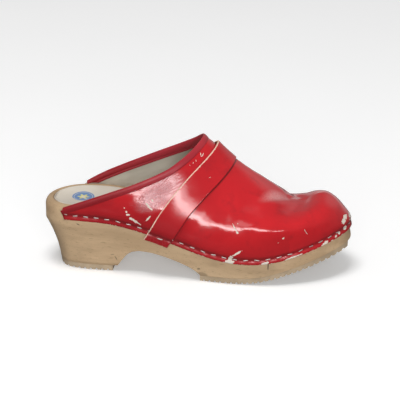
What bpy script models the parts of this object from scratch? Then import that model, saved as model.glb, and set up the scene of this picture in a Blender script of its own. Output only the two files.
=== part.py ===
"""Wooden-soled clog for a right foot, size 38 or so.

A carved wooden sole with a heel carries a one-piece leather upper round its rim. A strap of the same
leather crosses the instep, a folded binding covers the collar, a thin insole lies in the footbed, and
rubber treads cover the heel and the forefoot. Metres, +Z up, the toe towards +X, the medial side towards
+Y, standing on Z = 0. The tables below are in millimetres, counted from the back of the heel.
"""

from functools import cache

import bmesh
import bpy
import numpy as np
from mathutils import Matrix, Vector

mm = 0.001

# Driving dimensions, in millimetres.
gap = 0.3  # clearance between pieces that touch
leather = 1.8  # wall of the upper
strap_leather = 2.0
binding_leather = 0.6
tread = 4.5  # rubber under heel and forefoot
insole = 1.5
band = 15.3  # height of the sole's upright edge, under the rim
heel_front = 59.8  # heel breast, at the floor
ball_back = 134.5  # rear end of the forefoot tread
flat_end = 160.0  # where the toe spring starts
tails = {-1: 17.6, 1: 27.0}  # rear ends of the upper, lateral and medial
ledge = 7.2  # wooden rim round the insole
rim_rise = 0.8  # how far that rim stands above the tables' rim height
insole_margin = 0.4  # room between the insole and the footbed's edge
insole_bevel = 0.5
heel_tread_back = 12.6
front_tread_end = 254.2
tail_slant = 0.16  # how far the upper's tails lean forward below the rim, in stations
tail_slant_run = 0.6  # stations over which that lean fades out

# The sole's plan and rim, and the ridge (crown) of the upper over each station: lateral and medial points
# of the rim, rim height, how far the wall tucks in at the floor, how deep the upper reaches below the rim,
# how far the edge leans out, then the crown's place and height and the section's shape.
stations = {
    "lateral_x": (0, 4, 17, 37, 62, 90, 115, 140, 164, 188, 209, 227, 241.3, 250.7, 253.8),
    "lateral_y": (0, -16, -28.6, -33, -34, -36.5, -41, -45.8, -49, -49, -44.3, -36, -25, -12, 1.5),
    "medial_x": (0, 4, 17, 37, 62, 90, 115, 140, 164, 190, 211, 228, 242, 250.7, 253.8),
    "medial_y": (0, 16, 28.6, 33, 32.5, 30, 31, 35.5, 41, 45.5, 45.6, 39, 28.5, 15.5, 1.5),
    "rim": (54.7, 54.8, 55, 55.2, 53.6, 47, 39.8, 32.8, 28.8, 28.8, 32.2, 36.8, 40.6, 43.1, 44.1),
    "tuck": (12.4, 11.4, 8.6, 6.6, 5.6, 3.2, 2.6, 2.2, 2, 2, 2, 1.6, 1, 0.4, 0.2),
    "flange": (9.8, 9.8, 9.8, 9.8, 9.8, 9.8, 9.8, 9.8, 9.8, 9, 8, 7, 6, 5.7, 5.7),
    "flare": (0, 0, 0, 0, 0, 0, 0, 0, 0, 0.3, 0.9, 1.6, 2.2, 2.6, 2.6),
    "crown_x": (8, 14, 28, 64, 103, 140, 166, 186, 200, 210, 217.5, 223.5, 227.5, 229.5, 230),
    "crown_y": (0, 0, 0, 0, 0, 0, 0, 0, 0, 1, 2, 2.5, 2.5, 2.5, 2.5),
    "crown_z": (140, 140, 140, 141, 134.3, 106.6, 87.3, 74.4, 65.2, 58.9, 58.2, 61.4, 63.5, 64.2, 64.3),
    "lateral_fullness": (2, 2, 2, 2, 2, 2.1, 2.25, 2.8, 3.8, 4.3, 4.3, 3.7, 3.3, 2.9, 2.7),
    "medial_fullness": (2, 2, 2, 2, 2, 2, 2, 2.05, 2.1, 2.15, 2.2, 2.3, 2.45, 2.6, 2.7),
    "bulge": (0, 0, 0.2, 0.5, 1, 1.5, 2, 2, 2, 2, 1.8, 1.2, 0.5, 0, 0),
    "spread": (2, 2, 2, 2, 2, 2, 2, 2, 2, 1.9, 1.6, 1.3, 1.1, 1, 1),
    "fan": (0, 0, 0, 0, 0, 0, 0, 0.1, 0.3, 0.5, 0.6, 0.6, 0.55, 0.5, 0.5),
}
last_row = 14  # the toe's tip, where the lateral and medial sides meet
full_turn = 2 * last_row

# Heights along the length.
underside = {
    "x": (0, 59.8, 63.5, 67.3, 70.5, 73.5, 78, 84, 91, 99, 110, 121, 129, 134.5),
    "z": (4.8, 4.8, 4.8, 9.4, 13.6, 16.8, 19.2, 20.3, 20, 18.8, 16.2, 12.6, 9, 4.8),
}
toe_spring = {"x": (160, 175, 190, 205, 220, 235, 250, 258), "z": (0, 0.9, 3.6, 7.9, 12.6, 17.5, 22, 24)}
topline = {
    "x": (15, 27, 40, 60.5, 77, 93, 109, 117, 125, 132, 140),
    "lateral": (51.6, 56.6, 61.8, 69.6, 75.9, 82.9, 90.9, 96.5, 102.6, 108.8, 116.8),
    "medial": (46, 53.8, 61.3, 71.1, 78.5, 85.9, 93.6, 97.9, 102.8, 108.8, 116.8),
}
# Edges of the strap in side view, from its ends up to the ridge.
strap_edges = {
    "z": (18, 30, 40, 55, 70, 85, 100, 112),
    "rear": (82.5, 86.4, 92, 100.8, 111.7, 125, 141.5, 157.5),
    "front": (103.5, 109.6, 115.6, 125.4, 138.2, 154, 168.5, 180),
}
# Depth of the footbed's hollow on its middle line.
footbed = {"x": (0, 12, 35, 70, 110, 160, 215, 250, 258), "sag": (0, 3, 4.5, 3.5, 3, 2.6, 2, 1, 0.5)}
# The sole's edge from its side over the rim into the footbed: how far in, and how far below the rim height.
rim_section = (
    (0, band / 2),
    (0, 4.5),
    (0.6, 1.9),
    (2.1, 0.2),
    (4.2, -rim_rise),
    (ledge - 0.8, -rim_rise),
    (ledge, insole + gap - rim_rise),
)
strap_tail = 4.2  # the strap's ends reach below the upper's lower edge by this much
strap_lift = 2.6  # how far its rear edge stands off the ridge
binding_width = 3.4
binding_depth = 5.0  # of its inner flap
binding_least = 0.8  # where the collar runs down to the rim
binding_clear = 0.5  # between its inner flap and the rim
binding_gap = 0.5  # room for the bends between the folded strip and the upper


def hermite(ends, slopes, t):
    """Cubic from ends[0] to ends[1] with those slopes, at t from 0 to 1."""
    start, stop = ends
    rise, fall = slopes
    return (
        start * (2 * t**3 - 3 * t**2 + 1)
        + stop * (3 * t**2 - 2 * t**3)
        + rise * (t**3 - 2 * t**2 + t)
        + fall * (t**3 - t**2)
    )


def along(table, column, x):
    """A column of a table as a smooth function of its first column, without overshoot."""
    xs = np.array(next(iter(table.values())), float)
    zs = np.array(table[column], float)
    x = min(max(x, xs[0]), xs[-1])
    i = min(int(np.searchsorted(xs, x, "right")) - 1, len(xs) - 2)
    steps = np.diff(zs) / np.diff(xs)
    means = [0.0 if a * b <= 0 else 2 * a * b / (a + b) for a, b in zip(steps, steps[1:])]
    slopes = np.array([steps[0], *means, steps[-1]])
    width = xs[i + 1] - xs[i]
    return float(hermite(zs[i : i + 2], slopes[i : i + 2] * width, (x - xs[i]) / width))


@cache
def ring(lateral, medial, u):
    """A value round the shoe: u runs 0 at the heel's back, 14 at the toe and back to 28 along the medial side."""
    values = [*stations[lateral], *stations[medial][-2:0:-1]]
    i = int(np.floor(u))
    a, b, c, d = (values[(i + k) % full_turn] for k in (-1, 0, 1, 2))
    return float(hermite((b, c), ((c - a) / 2, (d - b) / 2), u - i))


def station(column, u):
    """A value shared by both sides at u."""
    return ring(column, column, u)


def fullness(u):
    """How square the upper's section is at u: 2 is an ellipse."""
    return ring("lateral_fullness", "medial_fullness", u)


def plan(u, outwards=0.0):
    """Point of the rim's outline, moved outwards in plan."""
    here, ahead = (
        np.array([ring("lateral_x", "medial_x", v), ring("lateral_y", "medial_y", v)]) for v in (u, u + 0.02)
    )
    dx, dy = (ahead - here) / np.linalg.norm(ahead - here)
    return here + outwards * np.array([dy, -dx])


def solve(test, low, high):
    """Where test turns from true to false between low and high."""
    for _ in range(30):
        middle = (low + high) / 2
        low, high = (middle, high) if test(middle) else (low, middle)
    return low


def station_of(x):
    """The lateral station at which the rim is that far from the heel's back."""

    def behind(u):
        return plan(u)[0] < x

    return solve(behind, 1.0, 13.0)


def floor_height(x):
    """Underside of the treads."""
    return along(toe_spring, "z", x) if x > flat_end else 0.0


def wood_bottom(x):
    """Underside of the wood: heel, breast, arch, then parallel to the forefoot tread."""
    return along(underside, "z", x) if x < ball_back else floor_height(x) + tread + gap


def flared(u, z):
    """How far the sole's upright edge leans out at height z."""
    return station("flare", u) * min(max(station("rim", u) - z, 0) / band, 1)


def wall(u, z):
    """Point of the sole's side at height z: nearly upright under the rim, then drawn in towards the floor."""
    start = station("rim", u) - band
    share = min(max((start - z) / max(start, 1), 0), 1)
    return (*plan(u, flared(u, z) - station("tuck", u) * (1 - (1 - share) ** 1.7)), z)


def crown(u):
    """Point of the ridge over station u."""
    return np.array([station(name, u) for name in ("crown_x", "crown_y", "crown_z")])


def share_at(u, z):
    """How far up station u height z is: -1 the upper's lower edge, 0 the rim, 1 the ridge."""
    base = station("rim", u)
    if z < base:
        return (z - base) / station("flange", u)
    rise = min((z - base) / (crown(u)[2] - base), 1)
    return float(np.arcsin(rise ** (fullness(u) / 2)) / (np.pi / 2))


def skin(u, share, outwards=0.0):
    """Point of the upper's outer face, moved outwards."""
    base = station("rim", u)
    if share <= 0:
        z = base + share * station("flange", u)
        return np.array([*plan(u, flared(u, z) + gap + leather + outwards), z])
    angle = share * np.pi / 2
    power = 2 / fullness(u)
    side = abs(np.cos(angle)) ** power
    rise = abs(np.sin(angle)) ** power
    swell = station("bulge", u) * np.sin(min(2 * angle, np.pi))
    foot = plan(u, gap + leather + outwards + swell)
    top = crown(u) + np.array([0, 0, outwards])
    fan = station("fan", u)
    reach = fan * side ** station("spread", u) + (1 - fan) * (1 - rise)
    height = base + (top[2] - base) * rise
    return np.array([top[0] + (foot[0] - top[0]) * reach, top[1] + (foot[1] - top[1]) * side, height])


def mirrored(u, side):
    """The station opposite, for side 1 (medial)."""
    return u if side < 0 else full_turn - u


def station_at(x, z, side):
    """Station of the upper that passes x at height z; side is -1 lateral, 1 medial."""

    def behind(u):
        at = mirrored(u, side)
        return skin(at, share_at(at, z))[0] < x

    return solve(behind, 1.0, last_row)


def edge_height(x, width, side):
    """The collar's edge in side view, moved down over the leather by width."""
    column = "lateral" if side < 0 else "medial"
    slope = along(topline, column, x + 0.5) - along(topline, column, x - 0.5)
    return along(topline, column, x) - width * np.hypot(1, slope)


@cache
def collar_front(width, side):
    """Where the collar's edge, moved down by width, meets the ridge."""

    def under_ridge(x):
        height = edge_height(x, width, side)
        return crown(station_at(x, height, side))[2] > height + 0.001

    return solve(under_ridge, 110.0, 150.0)


def collar(forward, width, side):
    """Station and share of a collar point: forward runs from 0 at the tail to 1 at the ridge."""
    front = collar_front(width, side)
    x = tails[side] + (front - tails[side]) * (1 - (1 - forward) ** 2)
    height = edge_height(x, width, side)
    u = station_at(x, height, side)
    return u, 1.0 if forward == 1 else share_at(mirrored(u, side), height)


def material(name, colour, roughness, metallic=0.0):
    """A Principled material."""
    made = bpy.data.materials.new(name)
    made.use_nodes = True
    shader = made.node_tree.nodes["Principled BSDF"]
    shader.inputs["Base Color"].default_value = (*colour, 1)
    shader.inputs["Roughness"].default_value = roughness
    shader.inputs["Metallic"].default_value = metallic
    return made


def finish(name, mesh, slot):
    """Merge what meets, point the faces outwards and make the object."""
    bmesh.ops.remove_doubles(mesh, verts=mesh.verts, dist=0.002 * mm)
    bmesh.ops.recalc_face_normals(mesh, faces=mesh.faces)
    data = bpy.data.meshes.new(name)
    mesh.to_mesh(data)
    mesh.free()
    data.materials.append(slot)
    data.shade_smooth()
    data.set_sharp_from_angle(angle=np.radians(35))
    made = bpy.data.objects.new(name, data)
    bpy.context.scene.collection.objects.link(made)
    return made


def ladder(mesh, loop, across, height):
    """Fill a loop between its lateral and medial halves; height(point, share across) sets the rungs' heights."""
    rungs = []
    for lateral, medial in zip(loop[: len(loop) // 2], reversed(loop[len(loop) // 2 :])):
        inner = []
        for share in np.linspace(0, 1, across + 1)[1:-1]:
            point = lateral.co.lerp(medial.co, share) / mm
            inner.append(mesh.verts.new(Vector((point.x, point.y, height(point, share))) * mm))
        rungs.append([lateral, *inner, medial])
    for here, ahead in zip(rungs, rungs[1:]):
        for corners in zip(here, here[1:], ahead[1:], ahead):
            mesh.faces.new(corners)


def loft(name, rings, slot, across, lower, upper):
    """Solid through rings from bottom to top, each a lateral and a medial line of points from heel to toe."""
    mesh = bmesh.new()
    loops = [[mesh.verts.new(Vector(p) * mm) for p in (*near, *reversed(far))] for near, far in rings]
    for below, above in zip(loops, loops[1:]):
        for i in range(-1, len(below) - 1):
            mesh.faces.new((below[i], below[i + 1], above[i + 1], above[i]))
    ladder(mesh, loops[0], across, lower)
    ladder(mesh, loops[-1], across, upper)
    return finish(name, mesh, slot)


def sheet(name, grids, slot):
    """Solid wall from grids of outer and inner points; grids join where their points meet."""
    mesh = bmesh.new()
    inside = mesh.verts.layers.float_vector.new("inside")
    for grid in grids:
        lines = []
        for line in grid:
            lines.append([mesh.verts.new(Vector(outer) * mm) for outer, _ in line])
            for vertex, (_, inner) in zip(lines[-1], line):
                vertex[inside] = Vector(inner) * mm
        for here, ahead in zip(lines, lines[1:]):
            for corners in zip(here, here[1:], ahead[1:], ahead):
                mesh.faces.new(corners)
    bmesh.ops.remove_doubles(mesh, verts=mesh.verts, dist=0.002 * mm)
    wall_faces = bmesh.ops.extrude_face_region(mesh, geom=mesh.faces, use_keep_orig=True)
    for part in wall_faces["geom"]:
        if isinstance(part, bmesh.types.BMVert):
            part.co = part[inside]
    return finish(name, mesh, slot)


def both_sides(us, point):
    """Lateral and medial lines of points for a ring."""
    return [point(u) for u in us], [point(full_turn - u) for u in us]


# Stations along the sole: even steps, and closer ones where the heel breast and the arch bend.
arch_us = [station_of(x) for x in (59.8, 63.5, 67.3, 70.5, 73.5, 78, 84, 91, 99, 110, 121, 129, 134.4, 134.6)]
sole_us = [*np.linspace(0, 3.6, 13), *arch_us, *np.linspace(8.2, 14, 18)]


def hollowed(point, share):
    """Height of the footbed: share runs across it, from the lateral edge to the medial one."""
    return point.z - along(footbed, "sag", point.x) * 4 * share * (1 - share)


def underneath(point, share):
    """Height of the wood's underside, the same all across."""
    return wood_bottom(point.x)


def level(point, share):
    """The height of the lateral and medial edges, kept all across."""
    return point.z


def make_sole(slot):
    """Carved wooden sole with heel, arch and a shallow footbed inside a rounded rim."""

    def side_ring(share):
        def point(u):
            low = wood_bottom(wall(u, wood_bottom(plan(u)[0]))[0])
            return wall(u, low + share * (station("rim", u) - band - low))

        return both_sides(sole_us, point)

    def rim_ring(inset, drop):
        def point(u):
            z = station("rim", u) - drop
            return (*plan(u, flared(u, z) - inset), z)

        return both_sides(sole_us, point)

    rings = [side_ring(share) for share in (0, 0.3, 0.65, 1)]
    rings += [rim_ring(*corner) for corner in rim_section]
    return loft("sole", rings, slot, 4, underneath, hollowed)


def make_insole(slot):
    """Thin insole, lying in the footbed."""

    def edge_ring(inset, height):
        def point(u):
            return (*plan(u, -ledge - inset), station("rim", u) + rim_rise - insole + height)

        return both_sides(sole_us, point)

    rings = [
        edge_ring(insole_margin, 0),
        edge_ring(insole_margin, insole - insole_bevel),
        edge_ring(insole_margin + insole_bevel, insole),
    ]
    return loft("insole", rings, slot, 4, hollowed, hollowed)


rib_pitch = 4.5
rib_profile = ((0, 0), (2.6, 0), (3.0, 1.2), (4.1, 1.2))  # along the pitch: land, then groove, with its depth


def make_tread(name, start, stop, slot):
    """Rubber tread between two places along the sole, with ribs across its underside."""

    def station_on_floor(x, side):
        def behind(u):
            return wall(mirrored(u, side), floor_height(x))[0] < x

        return solve(behind, 0.0, last_row)

    count = int((stop - start - rib_profile[1][0]) / rib_pitch)
    pitch = (stop - start) / (count + 0.6)
    lines = [(start + (i + x / rib_pitch) * pitch, depth) for i in range(count + 1) for x, depth in rib_profile]
    lines = [line for line in lines if line[0] < stop - 0.3] + [(stop, 0)]
    near = [station_on_floor(x, -1) for x, _ in lines]
    far = [full_turn - station_on_floor(x, 1) for x, _ in lines]

    def side_line(us, heights):
        points = []
        for u, (x, _), height in zip(us, lines, heights):
            reached = wall(u, floor_height(x) + height)[0]
            points.append(wall(u, floor_height(reached) + height))
        return points

    ribbed = [depth for _, depth in lines]
    flat = [tread] * len(lines)
    rings = [(side_line(near, heights), side_line(far, heights)) for heights in (ribbed, flat)]
    return loft(name, rings, slot, 1, level, level)


upper_shares = (-1, -0.72, -0.5, -0.25, 0, 0.09, 0.2, 0.32, 0.45, 0.58, 0.71, 0.84, 0.93, 1)
collar_steps = (0, 0.046, 0.1, 0.18, 0.27, 0.36, 0.45, 0.54, 0.62, 0.69, 0.76, 0.82, 0.87, 0.92, 0.96, 1)


def make_upper(slot):
    """One-piece leather shell: open at the collar, at the back and underneath."""
    grids = []
    for side in (-1, 1):
        starts = [collar(step, 0, side) for step in collar_steps]
        front = starts[-1][0]
        ahead = [front + step for step in (0.05, 0.14, 0.28, 0.5, 0.8)]
        us = [u for u, _ in starts] + ahead + list(np.linspace(6, 14, 25))
        tops = [top for _, top in starts] + [1.0] * (len(us) - len(starts))
        grid = []
        for u, top in zip(us, tops):
            at = mirrored(u, side)
            line = []
            for share in upper_shares:
                if top < 0:
                    up = min(share, 0) * (1 + top) + top
                else:
                    up = share if share <= 0 else share * top
                slant = tail_slant * max(0, -share) * max(0, 1 - (u - us[0]) / tail_slant_run)
                shifted = at - side * slant
                line.append((skin(shifted, up), skin(shifted, up, -leather)))
            grid.append(line)
        grids.append(grid)
    return sheet("upper", grids, slot)


def make_strap(slot):
    """Strap over the instep, from one edge of the sole to the other."""

    def edge_x(z, forward):
        return along(strap_edges, "rear", z) * (1 - forward) + along(strap_edges, "front", z) * forward

    def point(side, share, forward, outwards):
        def behind(u):
            at = mirrored(u, side)
            place = skin(at, share)
            return place[0] < edge_x(place[2], forward)

        u = mirrored(solve(behind, 3.0, 12.0), side)
        off = strap_lift * (1 - forward) ** 1.5 * max(share, 0) ** 4
        return skin(u, share, outwards + off)

    low = -1 - strap_tail / stations["flange"][5]
    shares = (low, -0.75, -0.25, 0, 0.09, 0.2, 0.32, 0.45, 0.58, 0.71, 0.84, 0.93, 1)
    rows = [(-1, share) for share in shares] + [(1, share) for share in reversed(shares[:-1])]
    columns = (0, 0.2, 0.5, 0.8, 1)
    grid = [
        [(point(*row, forward, gap + strap_leather), point(*row, forward, gap)) for forward in columns]
        for row in rows
    ]
    return sheet("strap", [grid], slot)


def make_binding(slot):
    """Folded strip of leather over the collar's edge."""
    steps = collar_steps[1:]
    line = [(-1, step) for step in steps] + [(1, step) for step in reversed(steps[:-1])]
    half = leather / 2 + binding_gap
    lines = []
    for side, forward in line:
        def surface(width, outwards):
            u, share = collar(forward, width, side)
            return skin(mirrored(u, side), share, outwards)

        edge, below = surface(0, -leather / 2), surface(1.0, -leather / 2)
        up = (edge - below) / np.linalg.norm(edge - below)
        out = surface(0, 0) - surface(0, -leather)
        out /= np.linalg.norm(out)
        base = station("rim", mirrored(collar(forward, 0, side)[0], side))
        inside = min(binding_depth, max(edge[2] - base - binding_clear, binding_least))
        section = []
        for thick, order in ((binding_leather, 1), (0, -1)):
            off = binding_gap + thick
            legs = [surface(binding_width, off), surface(binding_width / 2, off)]
            arc = [
                edge + (half + thick) * (out * np.cos(turn) + up * np.sin(turn))
                for turn in np.radians((0, 45, 90, 135, 180))
            ]
            hidden = [surface(inside / 2, -leather - off), surface(inside, -leather - off)]
            section += (legs + arc + hidden)[::order]
        lines.append(section)
    mesh = bmesh.new()
    loops = [[mesh.verts.new(Vector(p) * mm) for p in section] for section in lines]
    for here, ahead in zip(loops, loops[1:]):
        for i in range(-1, len(here) - 1):
            mesh.faces.new((here[i], here[i + 1], ahead[i + 1], ahead[i]))
    for loop in (loops[0], loops[-1]):
        count = len(loop) // 2
        for i in range(count - 1):
            mesh.faces.new((loop[i], loop[i + 1], loop[-2 - i], loop[-1 - i]))
    return finish("binding", mesh, slot)


for old in list(bpy.data.objects):
    bpy.data.objects.remove(old, do_unlink=True)

red = material("red leather", (0.58, 0.02, 0.03), 0.15)
wood = material("wood", (0.52, 0.35, 0.2), 0.6)
rubber_colour = (0.5, 0.42, 0.28)
pieces = [
    make_sole(wood),
    make_tread("tread_heel", heel_tread_back, heel_front, material("heel rubber", rubber_colour, 0.75)),
    make_tread("tread_front", ball_back, front_tread_end, material("front rubber", rubber_colour, 0.75)),
    make_insole(material("insole leather", (0.75, 0.7, 0.6), 0.6)),
    make_upper(red),
    make_strap(red),
    make_binding(red),
]

# The origin goes under the middle of the whole clog.
corners = np.array([corner for piece in pieces for corner in piece.bound_box])
middle = (corners.min(axis=0) + corners.max(axis=0)) / 2
for piece in pieces:
    piece.data.transform(Matrix.Translation((-middle[0], -middle[1], 0)))
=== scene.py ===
import math
from functools import cache

import bmesh
import bpy
import numpy as np
from mathutils import Matrix, Vector, noise


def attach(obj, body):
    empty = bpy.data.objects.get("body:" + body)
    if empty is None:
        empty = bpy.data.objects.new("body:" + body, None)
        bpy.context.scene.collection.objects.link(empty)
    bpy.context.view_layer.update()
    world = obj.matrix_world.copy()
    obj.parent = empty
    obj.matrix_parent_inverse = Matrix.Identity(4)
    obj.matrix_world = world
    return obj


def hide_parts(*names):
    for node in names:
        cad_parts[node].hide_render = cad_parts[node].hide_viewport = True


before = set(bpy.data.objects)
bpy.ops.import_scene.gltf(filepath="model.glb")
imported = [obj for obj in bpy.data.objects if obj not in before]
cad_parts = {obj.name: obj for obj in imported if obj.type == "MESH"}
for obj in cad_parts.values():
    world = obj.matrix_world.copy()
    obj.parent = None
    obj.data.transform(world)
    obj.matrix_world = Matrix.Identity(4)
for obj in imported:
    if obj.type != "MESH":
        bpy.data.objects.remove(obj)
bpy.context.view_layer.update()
mm = 0.001

# The clog's own sizes, in millimetres from the back of the heel, as the solids have them.
clog = {
    "origin": (128.4343, -1.5898, 0),
    "gap": 0.3,  # between pieces that touch
    "seam": 0.04,  # between the wood and the treads
    "leather": 1.8,
    "strapLeather": 1.6,
    "tread": 4.5,
    "insole": 1.5,
    "band": 15.3,  # upright edge of the sole
    "heelFront": 60,
    "ballBack": 134.5,
    "tails": {-1: 17.6, 1: 27.0},  # rear ends of the upper, lateral and medial
    "ledge": 7.2,  # bare wood round the insole
    "strapTail": 4.2,
    "strapLift": 2.6,
}
stations = {
    "lateralX": (0, 4, 17, 37, 62, 90, 115, 140, 164, 188, 209, 227, 241.3, 250.7, 253.8),
    "lateralY": (0, -16, -28.6, -33, -34, -36.5, -41, -45.8, -49, -49, -44.3, -36, -25, -12, 1.5),
    "medialX": (0, 4, 17, 37, 62, 90, 115, 140, 164, 190, 211, 228, 242, 250.7, 253.8),
    "medialY": (0, 16, 28.6, 33, 32.5, 30, 31, 35.5, 41, 45.5, 45.6, 39, 28.5, 15.5, 1.5),
    "rim": (54.7, 54.8, 55, 55.2, 53.6, 47, 39.8, 32.8, 28.8, 28.8, 32.2, 36.8, 40.6, 43.1, 44.1),
    "tuck": (12.4, 11.4, 8.6, 6.6, 5.6, 3.2, 2.6, 2.2, 2, 2, 2, 1.6, 1, 0.4, 0.2),
    "flange": (9.8, 9.8, 9.8, 9.8, 9.8, 9.8, 9.8, 9.8, 9.8, 9, 8, 7, 6, 5.7, 5.7),
    "flare": (0, 0, 0, 0, 0, 0, 0, 0, 0, 0.3, 0.9, 1.6, 2.2, 2.6, 2.6),
    "crownX": (8, 14, 28, 64, 103, 140, 166, 186, 200, 210, 217.5, 223.5, 227.5, 229.5, 230),
    "crownY": (0, 0, 0, 0, 0, 0, 0, 0, 0, 1, 2, 2.5, 2.5, 2.5, 2.5),
    "crownZ": (140, 140, 140, 141, 134.3, 106.6, 87.3, 74.4, 65.2, 58.9, 58.2, 61.4, 63.5, 64.2, 64.3),
    "lateralFullness": (2, 2, 2, 2, 2, 2.1, 2.25, 2.8, 3.8, 4.3, 4.3, 3.7, 3.3, 2.9, 2.7),
    "medialFullness": (2, 2, 2, 2, 2, 2, 2, 2.05, 2.1, 2.15, 2.2, 2.3, 2.45, 2.6, 2.7),
    "bulge": (0, 0, 0.2, 0.5, 1, 1.5, 2, 2, 2, 2, 1.8, 1.2, 0.5, 0, 0),
    "spread": (2, 2, 2, 2, 2, 2, 2, 2, 2, 1.9, 1.6, 1.3, 1.1, 1, 1),
    "fan": (0, 0, 0, 0, 0, 0, 0, 0.1, 0.3, 0.5, 0.6, 0.6, 0.55, 0.5, 0.5),
}
lastRow = 14
fullTurn = 2 * lastRow
# Curves over the distance from the heel's back, and the strap's edges over the height.
curves = {
    "underside": {
        "x": (0, 59.8, 63.5, 67.3, 70.5, 73.5, 78, 84, 91, 99, 110, 121, 129, 134.5),
        "z": (4.8, 4.8, 4.8, 9.4, 13.6, 16.8, 19.2, 20.3, 20, 18.8, 16.2, 12.6, 9, 4.8),
    },
    "toeSpring": {"x": (160, 175, 190, 205, 220, 235, 250, 258), "z": (0, 0.9, 3.6, 7.9, 12.6, 17.5, 22, 24)},
    "topline": {
        "x": (15, 27, 40, 60.5, 77, 93, 109, 117, 125, 132, 140),
        "lateral": (51.6, 56.6, 61.8, 69.6, 75.9, 82.9, 90.9, 96.5, 102.6, 108.8, 116.8),
        "medial": (46, 53.8, 61.3, 71.1, 78.5, 85.9, 93.6, 97.9, 102.8, 108.8, 116.8),
    },
    "strapEdges": {
        "z": (18, 30, 40, 55, 70, 85, 100, 112),
        "rear": (81.2, 86.2, 92, 100.8, 111.7, 125, 142.2, 159),
        "front": (102.3, 109.2, 115.6, 125.4, 138.2, 154, 169, 181),
    },
    "footbedSag": {"x": (0, 12, 35, 70, 110, 160, 215, 250, 258), "sag": (0, 3, 4.5, 3.5, 3, 2.6, 2, 1, 0.5)},
}


def toWorld(point):
    return (Vector(point) - Vector(clog["origin"])) * mm


def hermite(ends, slopes, t):
    start, stop = ends
    rise, fall = slopes
    blend = t * t * (3 - 2 * t)
    return start * (1 - blend) + stop * blend + rise * t * (1 - t) ** 2 - fall * t * t * (1 - t)


@cache
def along(tableName, column, x):
    # a column of a table as a smooth line without overshoot
    table = curves[tableName]
    xs = next(iter(table.values()))
    zs = table[column]
    x = min(max(x, xs[0]), xs[-1])
    i = max(k for k in range(len(xs) - 1) if xs[k] <= x)
    steps = [(zs[k + 1] - zs[k]) / (xs[k + 1] - xs[k]) for k in range(len(xs) - 1)]
    means = [0.0 if a * b <= 0 else 2 * a * b / (a + b) for a, b in zip(steps, steps[1:])]
    slopes = [steps[0], *means, steps[-1]]
    width = xs[i + 1] - xs[i]
    return hermite(zs[i : i + 2], (slopes[i] * width, slopes[i + 1] * width), (x - xs[i]) / width)


@cache
def ring(lateral, medial, u):
    # round the shoe: 0 at the heel's back, 14 at the toe, back to 28 along the medial side
    values = [*stations[lateral], *stations[medial][-2:0:-1]]
    i = math.floor(u)
    a, b, c, d = (values[(i + k) % fullTurn] for k in (-1, 0, 1, 2))
    return hermite((b, c), ((c - a) / 2, (d - b) / 2), u - i)


def station(column, u):
    return ring(column, column, u)


def fullness(u):
    # how square the section is: 2 is an ellipse
    return ring("lateralFullness", "medialFullness", u)


@cache
def rimFrame(u):
    # a point of the rim's outline and its outward direction
    x, y = ring("lateralX", "medialX", u), ring("lateralY", "medialY", u)
    dx, dy = ring("lateralX", "medialX", u + 0.02) - x, ring("lateralY", "medialY", u + 0.02) - y
    size = math.hypot(dx, dy)
    return x, y, dy / size, -dx / size


def plan(u, outwards=0.0):
    x, y, outX, outY = rimFrame(u)
    return x + outwards * outX, y + outwards * outY


def solve(test, low, high, turns=26):
    # where test turns from true to false
    for _ in range(turns):
        middle = (low + high) / 2
        low, high = (middle, high) if test(middle) else (low, middle)
    return low


def woodBottom(x):
    if x > clog["ballBack"]:
        return along("toeSpring", "z", x) + clog["tread"] + clog["seam"]
    return along("underside", "z", x) - (clog["gap"] - clog["seam"] if x < clog["heelFront"] else 0)


def flared(u, z):
    return station("flare", u) * min(max(station("rim", u) - z, 0) / clog["band"], 1)


def wall(u, z):
    start = station("rim", u) - clog["band"]
    share = min(max((start - z) / max(start, 1), 0), 1)
    return (*plan(u, flared(u, z) - station("tuck", u) * (1 - (1 - share) ** 1.7)), z)


def shareAt(u, z):
    # how far up station u height z is: -1 the lower edge, 0 the rim, 1 the ridge
    base = station("rim", u)
    if z < base:
        return (z - base) / station("flange", u)
    rise = min((z - base) / (station("crownZ", u) - base), 1)
    return math.asin(rise ** (fullness(u) / 2)) / (math.pi / 2)


def skin(u, share, outwards=0.0):
    # a point of the upper's outer face
    base = station("rim", u)
    if share <= 0:
        z = base + share * station("flange", u)
        return (*plan(u, flared(u, z) + clog["gap"] + clog["leather"] + outwards), z)
    angle = share * math.pi / 2
    power = 2 / fullness(u)
    side = abs(math.cos(angle)) ** power
    rise = abs(math.sin(angle)) ** power
    swell = station("bulge", u) * math.sin(min(2 * angle, math.pi))
    footX, footY = plan(u, clog["gap"] + clog["leather"] + outwards + swell)
    topX, topY, topZ = station("crownX", u), station("crownY", u), station("crownZ", u) + outwards
    fan = station("fan", u)
    reach = fan * side ** station("spread", u) + (1 - fan) * (1 - rise)
    return topX + (footX - topX) * reach, topY + (footY - topY) * side, base + (topZ - base) * rise


def mirrored(u, side):
    return u if side < 0 else fullTurn - u


def edgeHeight(x, width, side):
    column = "lateral" if side < 0 else "medial"
    slope = along("topline", column, x + 0.5) - along("topline", column, x - 0.5)
    return along("topline", column, x) - width * math.hypot(1, slope)


def stationAt(x, z, side):
    def behind(u):
        at = mirrored(u, side)
        return skin(at, shareAt(at, z))[0] < x

    return solve(behind, 1.0, 14.0)


@cache
def collarFront(width, side):
    def underRidge(x):
        height = edgeHeight(x, width, side)
        return station("crownZ", stationAt(x, height, side)) > height + 0.001

    return solve(underRidge, 110.0, 150.0)


@cache
def collar(forward, width, side):
    # station and share of a collar point: forward is 0 at the tail and 1 at the ridge
    front = collarFront(width, side)
    x = clog["tails"][side] + (front - clog["tails"][side]) * (1 - (1 - forward) ** 2)
    height = edgeHeight(x, width, side)
    u = stationAt(x, height, side)
    return u, 1.0 if forward == 1 else shareAt(mirrored(u, side), height)


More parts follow.
